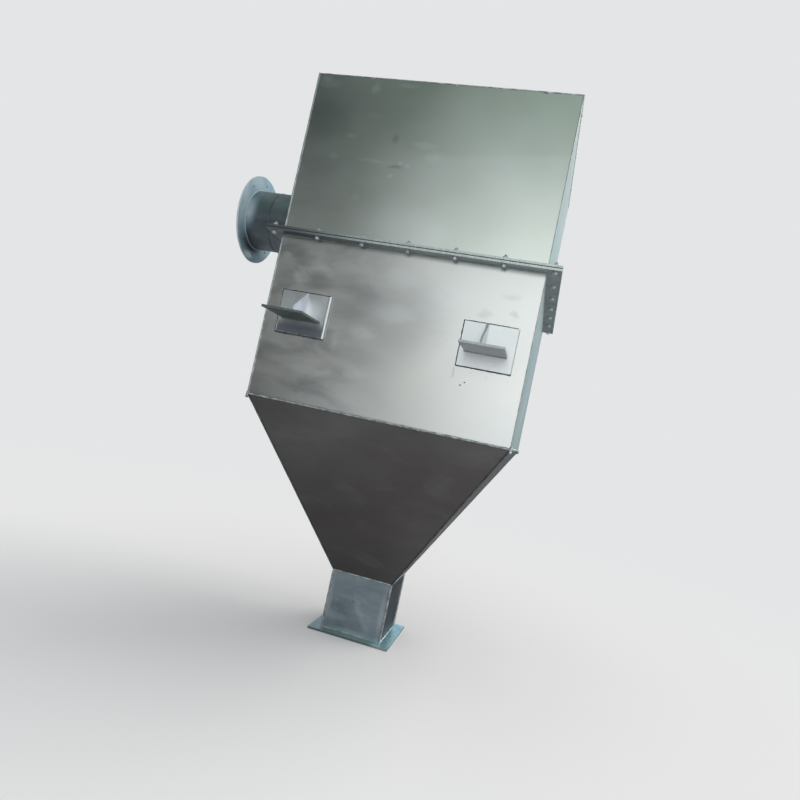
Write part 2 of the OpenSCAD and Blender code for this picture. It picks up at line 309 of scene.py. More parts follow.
# The roof lies flat under dust and rain marks, and nobody's hands reach it
roofSheet = coldRolledSheet("stainless2bRoof", {
    **sheetLook, "dark": "#b9bfbb", "mid": "#c6ccc8", "light": "#d2d7d3", "dullBy": 0.35, "paleBy": 0.2,
    "handled": (2.0, 3.0, 0.2), "smudgeSize": 0.2, "seams": [("rim", wallRight, 0.014)],
    "roughness": (0.3, 0.38),
})
lowerSheet = coldRolledSheet("stainless2bLower", lowerLook)
# The spout was bent from offcuts: more scratches, chalk-like rag marks
spoutSheet = coldRolledSheet("stainless2bSpout", {
    **sheetLook, "dark": "#98abb4", "mid": "#a6b8c1", "light": "#b5c6ce",
    "dullColour": "#84949c", "paleColour": "#dde8ec", "dullBy": 0.4, "paleBy": 0.3,
    "cloudSize": 0.14, "smudgeSize": 0.06, "handled": (2.0, 3.0, 0.2), "wander": 0.01,
    "scratchLong": 0.11, "scratchBy": 0.45,
    "darkMarksAndShade": [((-0.015, -0.127, 0.141), 0.007, 0.006, 0.9), ((-0.07, -0.127, 0.1), 0.05, 0.04, 0.5)],
    "paleMarksAndHighlights": [((-0.117, -0.127, 0.13), 0.013, 0.14, 0.5), ((0.112, -0.127, 0.12), 0.016, 0.14, 0.4),
                  ((0.0, -0.127, 0.016), 0.13, 0.018, 0.45), ((0.004, -0.127, 0.124), 0.016, 0.024, 0.26),
                  ((0.016, -0.127, 0.107), 0.016, 0.028, 0.28), ((0.031, -0.127, 0.086), 0.017, 0.03, 0.28),
                  ((0.047, -0.127, 0.063), 0.018, 0.03, 0.26),
                  ((0.062, -0.127, 0.043), 0.019, 0.024, 0.25)],
    "seams": [("z", hopperBase, 0.01)],
    "tintBy": 0.3, "buckleDepth": 0.003,
})
# The hopper's sheet: duller than the walls, with no smudges to speak of. Its darker tone is painted shade
hopperLook = {
    **sheetLook, "dark": "#7b7675", "mid": "#858180", "light": "#908e8e",
    "dullColour": "#777475", "paleColour": "#a6a8ac", "dullBy": 0.25, "paleBy": 0.2,
    "handled": (2.0, 3.0, 0.3), "scratchBy": 0.06, "roughness": (0.42, 0.5),
    "seams": [("hip", 0.0, 0.02), ("z", boxBase, 0.016), ("z", hopperBase, 0.012)], "tintBy": 0.35,
}
hopperSheet = coldRolledSheet("stainlessHotRolledHopper", hopperLook)
# The spout's side plates are darker still, as painted shade
spoutSideSheet = coldRolledSheet("stainlessHotRolledSpout", {
    **hopperLook, "dark": "#303e45", "mid": "#384951", "light": "#42545d", "cloudSize": 0.14,
    "seams": [("z", hopperBase, 0.01)],
})
# Rolled into a tube, a little smoother. Its darker tone is painted shade, with painted shade low on the
# inlet and a painted highlight beside its ring
ductSheet = coldRolledSheet("stainlessRolledDuct", {
    **sheetLook, "dark": "#6a757c", "mid": "#78838a", "light": "#8a959c",
    "dullColour": "#56616a", "paleColour": "#dfe8ee", "paleBy": 0.06, "cloudSize": 0.2, "smudgeSize": 0.07,
    "handled": (2.0, 3.0, 0.2), "roughness": (0.38, 0.48), "buckleDepth": 0.002,
    "seams": [("x", wallRight + 0.003, 0.02), ("x", collarSeam, 0.012), ("z", roofTop, 0.012)],
    "wander": 0.01,
    "darkMarksAndShade": [((-0.84, -0.06, 1.58), 0.05, 0.04, 0.5)],
    "paleMarksAndHighlights": [((-0.885, -0.14, 1.72), 0.055, 0.14, 0.75)],
})


# Plate cut on the shear: its faces keep the dull mill skin, its cut edges shine
def shearedPlate(name, look):
    material, tree, shader, place = newMaterial(name)
    axes = addNode(tree, "SeparateXYZ", [place]).node.outputs
    facing = addNode(tree, "TexCoord").node.outputs["Normal"]
    facing = addNode(tree, "SeparateXYZ", [facing]).node.outputs[look["flatAxis"].upper()]
    flat = addNode(tree, "Math", [facing], operation="ABSOLUTE")
    flat = addNode(tree, "MapRange", [flat, 0.6, 0.8, 0.0, 1.0])
    cloud = addNode(tree, "TexNoise", {
        "Vector": place, "Scale": 1 / look["cloudSize"], "Detail": 5.0, "Roughness": 0.6})
    skin = addNode(tree, "ValToRGB", [cloud], stops=[
        (0.32, look["dark"]), (0.5, look["mid"]), (0.68, look["light"])])
    # The shear's marks run through the thickness, about 3 mm apart
    streaks = addNode(tree, "Mapping", {"Vector": place, "Scale": (330.0, 330.0, 60.0)})
    streaks = addNode(tree, "TexNoise", {"Vector": streaks, "Scale": 1.0, "Detail": 2.0})
    cut = addNode(tree, "ValToRGB", [streaks], stops=[(0.35, look["edgeDark"]), (0.65, look["edge"])])
    colour = addNode(tree, "Mix", [flat, cut, skin], data_type="RGBA")
    # Painted shade: some plates are drawn darker towards one end, where less light falls on them
    if look.get("dusty"):
        axis, begin, end, dust = look["dusty"]
        dusty = addNode(
            tree, "MapRange", [axes[axis.upper()], begin, end, 0.0, 1.0], interpolation_type="SMOOTHSTEP")
        colour = addNode(tree, "Mix", [dusty, colour, dust], data_type="RGBA")
    # Painted highlights and painted shade: soft marks of one tone at given places
    for marks, tone in look.get("marks", []):
        colour = addNode(tree, "Mix", [handMarks(tree, place, marks), colour, tone], data_type="RGBA")
    smooth, rough = look["roughness"]
    gloss = addNode(tree, "MapRange", [cloud, 0.35, 0.65, smooth, rough])
    gloss = addNode(tree, "MapRange", [flat, 0.0, 1.0, look.get("edgeRough", rough), gloss])
    grit = addNode(tree, "TexNoise", {"Vector": place, "Scale": 300.0, "Detail": 3.0})  # about 3 mm
    bump = addNode(tree, "Bump", {"Strength": 0.3, "Distance": 0.0006, "Height": grit})
    feed(tree, shader, {
        "Base Color": colour, "Metallic": look.get("metallic", 1.0), "Roughness": gloss, "Normal": bump})
    return material


# flatAxis is the axis that the plate's faces look along. dusty is painted shade: an axis, where the shade
# begins along it, where it is darkest, and its tone
plateLook = {
    "flatAxis": "z", "dark": "#aeb9ba", "mid": "#bcc7c8", "light": "#cad4d5", "cloudSize": 0.05,
    "edge": "#e0e7e5", "edgeDark": "#c2cbc9", "roughness": (0.36, 0.5),
}
# The joint's bars are drawn darker towards the left as painted shade
jointBar = shearedPlate("stainlessShearedBar", {**plateLook, "dusty": ("x", -0.05, -0.48, "#7d858a")})
shelfPlate = shearedPlate("stainlessShelfPlate", {
    **plateLook, "dark": "#bcc1c4", "mid": "#c9ced1", "light": "#d6dadc", "edge": "#c9cdcf",
    "edgeDark": "#b2b6b8",
})
# The left-hand lugs' shelves take a darker copy as painted shade
dullShelfPlate = shearedPlate("stainlessDullShelfPlate", {
    **plateLook, "dark": "#77817f", "mid": "#87918f", "light": "#979f9e", "edge": "#9fa3a3",
    "edgeDark": "#737878",
})
brightPlate = {
    **plateLook, "dark": "#c6c9ca", "mid": "#d2d5d6", "light": "#dee1e2", "edge": "#d5dcde",
    "edgeDark": "#aab4b7", "roughness": (0.3, 0.38),
}
# The right-hand pads take a lit copy of the pad plate, paler than the walls, as painted light; the
# left-hand pads take a darker copy as painted shade, darker still below the shelf, with a painted highlight
# beside the gusset
padLook = {**brightPlate, "flatAxis": "y", "cloudSize": 0.09, "roughness": (0.4, 0.5)}
padPlate = shearedPlate("stainlessPadPlate", {
    **padLook, "dark": "#e4e7e8", "mid": "#eff1f2", "light": "#f8f9fa"})
dullPadPlate = shearedPlate("stainlessDullPadPlate", {
    **padLook, "dusty": ("z", 1.2, 1.17, "#8d939c"),
    "marks": [([((-0.315, -0.51, 1.24), 0.056, 0.06, 0.85)], "#fafcff")]})
gussetPlate = shearedPlate("stainlessGussetPlate", {
    **brightPlate, "flatAxis": "x", "dark": "#c6c9d3", "mid": "#d3d6df", "light": "#dfe2ea",
    "edge": "#eef2f2", "edgeDark": "#d2dada", "edgeRough": 0.85})
# The duct rings: pale blue-grey, with painted highlights at the top, along the front and low down, and
# painted shade over the lower part
ringPlate = shearedPlate("stainlessTurnedRing", {
    **brightPlate, "dark": "#a6c3d5", "mid": "#b9d4e4", "light": "#cce5f3", "flatAxis": "x",
    "roughness": (0.62, 0.75), "metallic": 0.6,
    "marks": [([((-0.892, 0.03, 1.53), 0.17, 0.09, 0.45), ((-0.892, -0.04, 1.585), 0.13, 0.05, 0.8)],
               "#46555c"),
              ([((-0.892, -0.09, 1.865), 0.09, 0.05, 0.45), ((-0.892, -0.172, 1.71), 0.06, 0.15, 0.75),
                ((-0.892, -0.04, 1.532), 0.06, 0.022, 0.9)], "#e6f6fd")]})
# The spout's flange is drawn darker except along its right-hand edge, as painted shade
spoutPlate = shearedPlate("stainlessSpoutPlate", {
    **brightPlate, "dark": "#9fc6d1", "mid": "#b9dde7", "light": "#dcf3f8", "cloudSize": 0.03,
    "edge": "#d3dedb", "edgeDark": "#aebab7", "dusty": ("x", 0.13, 0.08, "#8b989c")})


# Weld metal, stainless: frozen ripples, bright where brushed, straw to blue-grey where it wasn't
def weldMetal(name, tones):
    material, tree, shader, place = newMaterial(name)
    patch = addNode(tree, "TexNoise", {"Vector": place, "Scale": 38.0, "Detail": 4.0})  # about 26 mm
    colour = addNode(tree, "ValToRGB", [patch], stops=tones)
    gloss = addNode(tree, "MapRange", [patch, 0.35, 0.65, 0.45, 0.28])
    grain = addNode(tree, "TexNoise", {"Vector": place, "Scale": 900.0, "Detail": 2.0})  # about 1 mm
    bump = addNode(tree, "Bump", {"Strength": 0.4, "Distance": 0.0004, "Height": grain})
    feed(tree, shader, {"Base Color": colour, "Metallic": 1.0, "Roughness": gloss, "Normal": bump})
    return material


brightWeld = weldMetal("weldMetalBrushed", [
    (0.34, "#9aa0a2"), (0.46, "#bfc5c7"), (0.58, "#d8dfe2"), (0.7, "#f0f5f7")])
softWeld = weldMetal("weldMetalDull", [(0.34, "#5f6769"), (0.5, "#737c7f"), (0.66, "#8b9598")])
darkWeld = weldMetal("weldMetalScaled", [
    (0.32, "#565859"), (0.48, "#6f7475"), (0.62, "#888e8f"), (0.74, "#b2b7b8")])
# Ground flush with a flap disc, so it is as bright as the sheet beside it
groundWeld = weldMetal("weldMetalGround", [(0.34, "#99a4a3"), (0.5, "#adb7b6"), (0.66, "#c2cbca")])


# Stainless machine screws: bright, cold-formed and tumbled, in patches of about 8 mm
def screwSteel():
    material, tree, shader, place = newMaterial("stainlessTumbledScrew")
    patch = addNode(tree, "TexNoise", {"Vector": place, "Scale": 120.0, "Detail": 3.0})
    colour = addNode(tree, "ValToRGB", [patch], stops=[(0.35, "#c9d0d3"), (0.6, "#eef3f5")])
    gloss = addNode(tree, "MapRange", [patch, 0.35, 0.65, 0.4, 0.55])
    feed(tree, shader, {"Base Color": colour, "Metallic": 1.0, "Roughness": gloss})
    return material


# Compressed fibre gasket, matt, with fibres drawn about 4 mm coarse so that they show
def gasketFibre():
    material, tree, shader, place = newMaterial("gasketFibre")
    fibres = addNode(tree, "TexNoise", {"Vector": place, "Scale": 260.0, "Detail": 4.0})
    colour = addNode(tree, "ValToRGB", [fibres], stops=[(0.35, "#2c3031"), (0.65, "#434849")])
    bump = addNode(tree, "Bump", {"Strength": 0.5, "Distance": 0.0005, "Height": fibres})
    feed(tree, shader, {"Base Color": colour, "Roughness": 0.85, "Normal": bump})
    return material


screwMetal = screwSteel()
gasketMaterial = gasketFibre()

finishes = {
    "upper_": upperSheet, "roof": roofSheet, "lower_": lowerSheet, "hopper_": hopperSheet,
    "spout_": spoutSheet, "spout_left": spoutSideSheet, "spout_right": spoutSideSheet,
    "inlet_stub": ductSheet, "outlet_stub": ductSheet,
    "inlet_flange": ringPlate, "outlet_flange": ringPlate, "upper_flange_": jointBar,
    "lower_flange_": jointBar, "spout_flange": spoutPlate, "lug_pad": padPlate,
    "lug_pad_front_left": dullPadPlate, "lug_pad_back_left": dullPadPlate,
    "lug_shelf": shelfPlate, "lug_shelf_front_left": dullShelfPlate, "lug_shelf_back_left": dullShelfPlate,
    "lug_gusset": gussetPlate, "joint_gasket": gasketMaterial,
}
for name, node in nodes.items():
    start = max((s for s in finishes if name.startswith(s)), key=len)
    if not node.material_slots:
        node.data.materials.append(finishes[start])
    for materialSlot in node.material_slots:
        materialSlot.material = finishes[start]
print("finishes on the frame's nodes")


# Small helpers for modelling
def onlySelect(*pieces):
    bpy.ops.object.select_all(action="DESELECT")
    for piece in pieces:
        piece.select_set(True)
    bpy.context.view_layer.objects.active = pieces[0]


def settle(piece):
    onlySelect(piece)
    bpy.ops.object.transform_apply(location=True, rotation=True, scale=True)
    return piece


def shapeWith(piece, kind, settings):
    onlySelect(piece)
    modifier = piece.modifiers.new(kind.title(), kind)
    for key, value in settings.items():
        setattr(modifier, key, value)
    bpy.ops.object.modifier_apply(modifier=modifier.name)
    return piece


def copyOf(piece):
    twin = piece.copy()
    twin.data = piece.data.copy()
    bpy.context.collection.objects.link(twin)
    return twin


def joinAs(name, pieces):
    onlySelect(*pieces)
    bpy.ops.object.join()
    whole = bpy.context.object
    whole.name = name
    whole.data.name = name
    return whole


def finishPiece(piece, material):
    piece.data.materials.clear()
    piece.data.materials.append(material)
    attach(piece, "root")
    return piece


# Joint bolts: hex head and washer below the flanges; washer, nut and thread end above them
jointBolt = {
    "line": wallRight + 0.026, "perSide": 7, "acrossFlats": 0.016, "headHigh": 0.0064, "nutHigh": 0.008,
    "washer": (0.01, 0.002), "shank": 0.005, "threadOut": 0.006, "threadPitch": 0.0015, "turnSeed": 12,
    "threadRoot": 0.86, "chamfer": (0.13, 0.0011), "hexEdge": 0.0005, "washerEdge": 0.0004,
}


def cylinderAt(sides, radius, low, high):
    bpy.ops.object.select_all(action="DESELECT")
    bpy.ops.mesh.primitive_cylinder_add(
        vertices=sides, radius=radius, depth=high - low, location=(0, 0, (low + high) / 2))
    return settle(bpy.context.object)


def breakEdges(piece, width):
    return shapeWith(piece, "BEVEL", {"width": width, "segments": 1, "limit_method": "ANGLE"})


# The outer end of a head or nut is drawn in and raised, which leaves its chamfer
def hexagon(low, high, chamferTop):
    radius = jointBolt["acrossFlats"] / math.sqrt(3)
    inward, raised = jointBolt["chamfer"]
    hexa = cylinderAt(6, radius, low, high)
    end = high if chamferTop else low
    bpy.ops.object.mode_set(mode="EDIT")
    bpy.ops.mesh.select_all(action="DESELECT")
    bpy.ops.object.mode_set(mode="OBJECT")
    for face in hexa.data.polygons:
        face.select = all(abs(hexa.data.vertices[v].co.z - end) < 1e-5 for v in face.vertices)
    bpy.ops.object.mode_set(mode="EDIT")
    bpy.ops.mesh.inset(thickness=radius * inward, depth=0.0)
    bpy.ops.transform.translate(value=(0, 0, raised if chamferTop else -raised))
    bpy.ops.object.mode_set(mode="OBJECT")
    return breakEdges(hexa, jointBolt["hexEdge"])


def washerAt(low, high):
    return breakEdges(cylinderAt(20, jointBolt["washer"][0], low, high), jointBolt["washerEdge"])


# The thread end is a rod whose rings step in and out, one pair for each turn
def threadEnd(low, high):
    rings = max(4, int((high - low) / jointBolt["threadPitch"]) * 2)
    rod = cylinderAt(12, jointBolt["shank"], low, high)
    bpy.ops.object.mode_set(mode="EDIT")
    for step in range(1, rings):
        bpy.ops.mesh.select_all(action="SELECT")
        level = low + (high - low) * step / rings
        bpy.ops.mesh.bisect(plane_co=(0, 0, level), plane_no=(0, 0, 1))
    bpy.ops.object.mode_set(mode="OBJECT")
    for vertex in rod.data.vertices:
        step = round((vertex.co.z - low) / (high - low) * rings)
        if step % 2 == 0:
            vertex.co.x *= jointBolt["threadRoot"]
            vertex.co.y *= jointBolt["threadRoot"]
    return rod


def boltSpots():
    line, count = jointBolt["line"], jointBolt["perSide"]
    steps = [line * (2 * i / (count - 1) - 1) for i in range(count)]
    spots = [(s, side * line) for s in steps for side in (-1, 1)]
    return spots + [(side * line, s) for s in steps[1:-1] for side in (-1, 1)]


def makeJointBolts():
    thick = jointBolt["washer"][1]
    headTop = jointUnder - thick
    nutBase = jointOver + thick
    nutTop = nutBase + jointBolt["nutHigh"]
    screw = joinAs("oneScrew", [
        hexagon(headTop - jointBolt["headHigh"], headTop, False),
        washerAt(headTop, jointUnder),
    ])
    nut = joinAs("oneNut", [
        hexagon(nutBase, nutTop, True),
        washerAt(jointOver, nutBase),
        threadEnd(nutTop - 0.001, nutTop + jointBolt["threadOut"]),
    ])
    spots = boltSpots()
    turner = random.Random(jointBolt["turnSeed"])
    for model, name in ((screw, "jointScrews"), (nut, "jointNuts")):
        copies = []
        for x, y in spots:
            twin = copyOf(model)
            twin.location = (x, y, 0)
            twin.rotation_euler = (0, 0, math.radians(turner.uniform(0, 60)))
            copies.append(settle(twin))
        bpy.data.objects.remove(model)
        whole = joinAs(name, copies)
        onlySelect(whole)
        bpy.ops.object.shade_smooth_by_angle(angle=math.radians(28))
        finishPiece(whole, screwMetal)


makeJointBolts()
print("joint screws and nuts:", len(boltSpots()))

# Weld beads: one flattened ball leans on the last, a ripple every few millimetres
weldLook = {"segments": 7, "rings": 5, "lean": 32, "long": 0.95}


def ripple(radius, pitch):
    bpy.ops.object.select_all(action="DESELECT")
    bpy.ops.mesh.primitive_uv_sphere_add(
        segments=weldLook["segments"], ring_count=weldLook["rings"], radius=1)
    ball = bpy.context.object
    ball.scale = (pitch * weldLook["long"], radius, radius)
    ball.rotation_euler = (0, math.radians(weldLook["lean"]), 0)
    settle(ball)
    bpy.ops.object.shade_smooth()
    return ball


# Turns a run made along x to lie from its start to its end
def laidAlong(run, start, end):
    run.rotation_mode = "QUATERNION"
    run.rotation_quaternion = (end - start).to_track_quat("X", "Z")
    run.location = start
    return settle(run)


def straightWeld(start, end, radius, pitch=0.005):
    start, end = Vector(start), Vector(end)
    length = (end - start).length
    count = max(2, round(length / pitch))
    run = ripple(radius, pitch)
    shapeWith(run, "ARRAY", {
        "count": count, "use_relative_offset": False, "use_constant_offset": True,
        "constant_offset_displace": (length / count, 0, 0)})
    return laidAlong(run, start, end)


# A ring of ripples about the x axis, or about the z axis
def ringWeld(centre, ringRadius, axis, radius, pitch=0.0055):
    count = round(2 * math.pi * ringRadius / pitch)
    run = ripple(radius, pitch)
    run.location = (0, ringRadius, 0)
    settle(run)
    bpy.ops.object.empty_add(rotation=(0, 0, -2 * math.pi / count))
    turn = bpy.context.object
    bpy.context.view_layer.update()
    shapeWith(run, "ARRAY", {
        "count": count, "use_relative_offset": False, "use_object_offset": True, "offset_object": turn})
    bpy.data.objects.remove(turn)
    if axis == "x":
        run.rotation_euler = (0, math.radians(90), 0)
    run.location = centre
    return settle(run)


# A weld ground to a rounded edge: a rod of short rings, closed at its ends
def groundRun(start, end, radius, step=0.015):
    start, end = Vector(start), Vector(end)
    length = (end - start).length
    count = max(2, round(length / step))
    bpy.ops.object.select_all(action="DESELECT")
    bpy.ops.mesh.primitive_cylinder_add(
        vertices=10, radius=radius, depth=length / count, end_fill_type="NOTHING",
        rotation=(0, math.radians(90), 0), location=(length / count / 2, 0, 0))
    run = settle(bpy.context.object)
    shapeWith(run, "ARRAY", {
        "count": count, "use_relative_offset": False, "use_constant_offset": True,
        "constant_offset_displace": (length / count, 0, 0), "use_merge_vertices": True,
        "merge_threshold": 0.0002})
    onlySelect(run)
    bpy.ops.object.mode_set(mode="EDIT")
    bpy.ops.mesh.select_all(action="SELECT")
    bpy.ops.mesh.fill_holes(sides=0)
    bpy.ops.object.mode_set(mode="OBJECT")
    bpy.ops.object.shade_smooth_by_angle(angle=math.radians(50))
    return laidAlong(run, start, end)


# Joins runs to one piece, whose surface wanders as the hand does: by how much, and over what length
def layWelds(name, runs, wander, material):
    whole = joinAs(name, runs)
    texture = bpy.data.textures.new("handWander", "CLOUDS")
    texture.noise_scale = wander[1]
    texture.noise_depth = 2
    shapeWith(whole, "DISPLACE", {
        "texture": texture, "strength": wander[0], "mid_level": 0.5, "texture_coords": "LOCAL"})
    finishPiece(whole, material)


def cornersOf(half):
    return [(x, y) for x in (-half, half) for y in (-half, half)]


def squareOf(half, z):
    corners = [(-half, -half, z), (half, -half, z), (half, half, z), (-half, half, z)]
    return list(zip(corners, corners[1:] + corners[:1]))


# Bead sizes are radii. Two numbers are a radius and a pitch, and for a wander its amount and its length
housingWeld = {
    "hopperSeam": (0.0036, 0.006), "blob": (0.0062, 0.007), "blobReach": 0.01, "seamWander": (0.005, 0.016),
    # The right-hand corners are ground closer than the left-hand ones: radius, and how far in its middle is
    "corners": {-1: (0.0034, 0.0), 1: (0.0021, 0.0014)}, "cornerWander": (0.0008, 0.03),
    "hip": 0.003, "hipWander": (0.0014, 0.03),
    "roofSeam": 0.0022, "roofSeamDown": 0.001, "roofWander": (0.0014, 0.012),
    "tack": 0.0048, "tackFirst": -0.284, "tackStep": 0.325, "tackLong": 0.016,
}


def makeHousingWelds():
    edge = wallRight
    seam = [straightWeld(a, b, *housingWeld["hopperSeam"]) for a, b in squareOf(edge, boxBase)]
    reach = housingWeld["blobReach"]
    for x, y in cornersOf(edge):
        seam.append(straightWeld((x, y, boxBase - reach), (x, y, boxBase + reach), *housingWeld["blob"]))
    layWelds("hopperSeamWeld", seam, housingWeld["seamWander"], brightWeld)

    corners = []
    for hand, (radius, sunk) in housingWeld["corners"].items():
        for side in (-1, 1):
            x, y = hand * (edge - sunk), side * (edge - sunk)
            corners.append(groundRun((x, y, boxBase), (x, y, jointUnder), radius))
            corners.append(groundRun((x, y, jointOver), (x, y, roofTop), radius))
    layWelds("cornerWelds", corners, housingWeld["cornerWander"], groundWeld)

    hips = []
    for x, y in cornersOf(1):
        foot = (x * spoutHalf, y * spoutHalf, hopperBase)
        hips.append(groundRun((x * edge, y * edge, boxBase), foot, housingWeld["hip"]))
    layWelds("hipWelds", hips, housingWeld["hipWander"], softWeld)

    tacks = []
    for i in range(3):
        begin = housingWeld["tackFirst"] + housingWeld["tackStep"] * i
        end = begin + housingWeld["tackLong"]
        for y in (-edge, edge):
            tacks.append(straightWeld((begin, y, roofBase), (end, y, roofBase), housingWeld["tack"]))
            tacks.append(straightWeld((y, -begin, roofBase), (y, -end, roofBase), housingWeld["tack"]))
    rim = squareOf(edge, roofTop - housingWeld["roofSeamDown"])
    tacks += [groundRun(a, b, housingWeld["roofSeam"]) for a, b in rim]
    layWelds("roofWelds", tacks, housingWeld["roofWander"], brightWeld)


jointWeld = {"fillet": 0.0028, "corner": (0.0013, 0.0045), "cornerOut": 0.001, "wander": (0.0018, 0.016)}


def makeJointWelds():
    fillets = []
    for z in (jointUnder, jointOver):
        fillets += [straightWeld(a, b, jointWeld["fillet"]) for a, b in squareOf(wallRight, z)]
    for x, y in cornersOf(1):
        for z in (jointUnder, jointOver):
            start = (x * (wallRight + jointWeld["cornerOut"]), y * wallRight, z)
            fillets.append(straightWeld(start, (x * jointEdge, y * wallRight, z), *jointWeld["corner"]))
    layWelds("jointFillets", fillets, jointWeld["wander"], groundWeld)


spoutWeld = {"corner": 0.0048, "top": 0.003, "foot": 0.0034, "wander": (0.002, 0.014)}


def makeSpoutWelds():
    edges = [groundRun((x, y, spoutBase), (x, y, hopperBase), spoutWeld["corner"])
             for x, y in cornersOf(spoutHalf)]
    edges += [groundRun(a, b, spoutWeld["top"]) for a, b in squareOf(spoutHalf, hopperBase)]
    edges += [straightWeld(a, b, spoutWeld["foot"]) for a, b in squareOf(spoutHalf, spoutBase)]
    layWelds("spoutWelds", edges, spoutWeld["wander"], brightWeld)


# A rim is a thin bright line on a left pad's face, and the thick end is the bead at its right-hand end,
# pale as a painted highlight. The ground ends take the pads' lit finish
lugWeld = {
    "pad": 0.0052, "end": 0.0085, "endOut": 0.002, "groundEnd": 0.0046, "rim": 0.0022, "rimGap": 0.003,
    "rimShort": 0.01, "shelf": 0.0024, "gusset": 0.0022, "padWander": (0.004, 0.012),
    "rimWander": (0.0012, 0.02), "seatWander": (0.0014, 0.014), "endWander": (0.0016, 0.016),
    "groundWander": (0.0012, 0.02),
}


def makeLugWelds():
    outline, seats, rims, thickEnds, groundEnds = [], [], [], [], []
    for end in ("front", "back"):
        for hand in ("left", "right"):
            padLow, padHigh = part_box(f"lug_pad_{end}_{hand}")
            shelfLow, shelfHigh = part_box(f"lug_shelf_{end}_{hand}")
            gussetLow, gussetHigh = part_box(f"lug_gusset_{end}_{hand}")
            out = -1 if end == "front" else 1
            wall = out * wallRight
            padFace = padLow.y if out < 0 else padHigh.y
            nose = gussetLow.y if out < 0 else gussetHigh.y
            corners = [(padHigh.x, wall, padLow.z), (padLow.x, wall, padLow.z),
                       (padLow.x, wall, padHigh.z), (padHigh.x, wall, padHigh.z)]
            outline += [straightWeld(a, b, lugWeld["pad"]) for a, b in zip(corners, corners[1:])]
            if hand == "left":
                face = wall + out * lugWeld["endOut"]
                thickEnds.append(groundRun(
                    (padHigh.x, face, padLow.z), (padHigh.x, face, padHigh.z), lugWeld["end"]))
                x, z = padLow.x + lugWeld["rimGap"], padLow.z + lugWeld["rimGap"]
                for far in ((padHigh.x - lugWeld["rimShort"], padFace, z), (x, padFace, shelfLow.z)):
                    rims.append(groundRun((x, padFace, z), far, lugWeld["rim"]))
            else:
                groundEnds.append(groundRun(corners[0], corners[3], lugWeld["groundEnd"]))
            for z in (shelfLow.z, shelfHigh.z):
                seats.append(straightWeld(
                    (shelfLow.x, padFace, z), (shelfHigh.x, padFace, z), lugWeld["shelf"]))
            foot, top, tip = ((gussetLow.x, y, z) for y, z in (
                (padFace, gussetLow.z), (padFace, gussetHigh.z), (nose, gussetLow.z)))
            seats.append(straightWeld(foot, top, lugWeld["gusset"]))
            seats.append(straightWeld(foot, tip, lugWeld["gusset"]))
            foot, top, tip = ((gussetHigh.x, *spot[1:]) for spot in (foot, top, tip))
            groundEnds.append(groundRun(foot, top, lugWeld["gusset"]))
            seats.append(straightWeld(foot, tip, lugWeld["gusset"]))
    layWelds("padOutlineWelds", outline, lugWeld["padWander"], darkWeld)
    layWelds("padRimWelds", rims, lugWeld["rimWander"], brightWeld)
    layWelds("lugSeatWelds", seats, lugWeld["seatWander"], groundWeld)
    layWelds("padThickEndWelds", thickEnds, lugWeld["endWander"], padPlate)
    layWelds("lugGroundWelds", groundEnds, lugWeld["groundWander"], padPlate)


ductWeld = {
    "wall": 0.0036, "collar": 0.0018, "roof": 0.0036, "seamWander": (0.0016, 0.014),
    "inletRing": 0.0038, "outletRing": 0.0042, "ringWander": (0.0014, 0.014),
}


def makeDuctWelds():
    seams = [
        ringWeld((-wallRight, 0, inletAxis), ductRadius, "x", ductWeld["wall"]),
        ringWeld((-collarSeam, 0, inletAxis), ductRadius, "x", ductWeld["collar"]),
        ringWeld((0, 0, roofTop), ductRadius, "z", ductWeld["roof"]),
    ]
    layWelds("ductSeamWelds", seams, ductWeld["seamWander"], softWeld)
    # The ring seats take the pads' lit finish, a pale line as painted highlight where each ring meets its
    # duct
    seats = [
        ringWeld((inletRingBack, 0, inletAxis), ductRadius, "x", ductWeld["inletRing"]),
        ringWeld((0, 0, outletRingUnder), ductRadius, "z", ductWeld["outletRing"]),
    ]
    layWelds("ringSeatWelds", seats, ductWeld["ringWander"], padPlate)


# Spatter: drops of weld metal that froze on the sheet beside the lugs, two larger ones below the right one
spatter = {
    "count": 72, "size": (0.0008, 0.0017), "reach": 0.045, "nearest": 0.004, "flat": 0.6, "seed": 5,
    "large": [(0.284, 1.078, 0.0042), (0.297, 1.090, 0.0035)],
}


def makeSpatter():
    picker = random.Random(spatter["seed"])
    bpy.ops.object.select_all(action="DESELECT")
    bpy.ops.mesh.primitive_ico_sphere_add(subdivisions=1, radius=1)
    drop = bpy.context.object
    shapeWith(drop, "SUBSURF", {"levels": 1, "render_levels": 1})
    onlySelect(drop)
    bpy.ops.object.shade_smooth()
    drops = []
    pads = [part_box(f"lug_pad_{end}_{hand}") for end in ("front", "back") for hand in ("left", "right")]
    spots = []
    for i in range(spatter["count"]):
        low, high = pads[i % 4]
        side = picker.choice(("left", "right", "over", "under"))
        x = picker.uniform(low.x, high.x)
        z = picker.uniform(low.z, high.z)
        far = abs(picker.gauss(0, 0.5)) * spatter["reach"] + spatter["nearest"]
        if side == "left":
            x = low.x - far
        elif side == "right":
            x = min(high.x + far, wallRight - 0.006)
        elif side == "over":
            z = high.z + far
        else:
            z = low.z - far
        spots.append((x, -wallRight if low.y < 0 else wallRight, z, picker.uniform(*spatter["size"])))
    spots += [(x, wallFront, z, size) for x, z, size in spatter["large"]]
    for x, y, z, size in spots:
        twin = copyOf(drop)
        twin.scale = (size, size * spatter["flat"], size)
        twin.location = (x, y, z)
        drops.append(settle(twin))
    bpy.data.objects.remove(drop)
    finishPiece(joinAs("weldSpatter", drops), darkWeld)


makeHousingWelds()
makeJointWelds()
makeSpoutWelds()
makeLugWelds()
makeDuctWelds()
print("weld beads laid")
makeSpatter()
print("spatter drops:", spatter["count"])

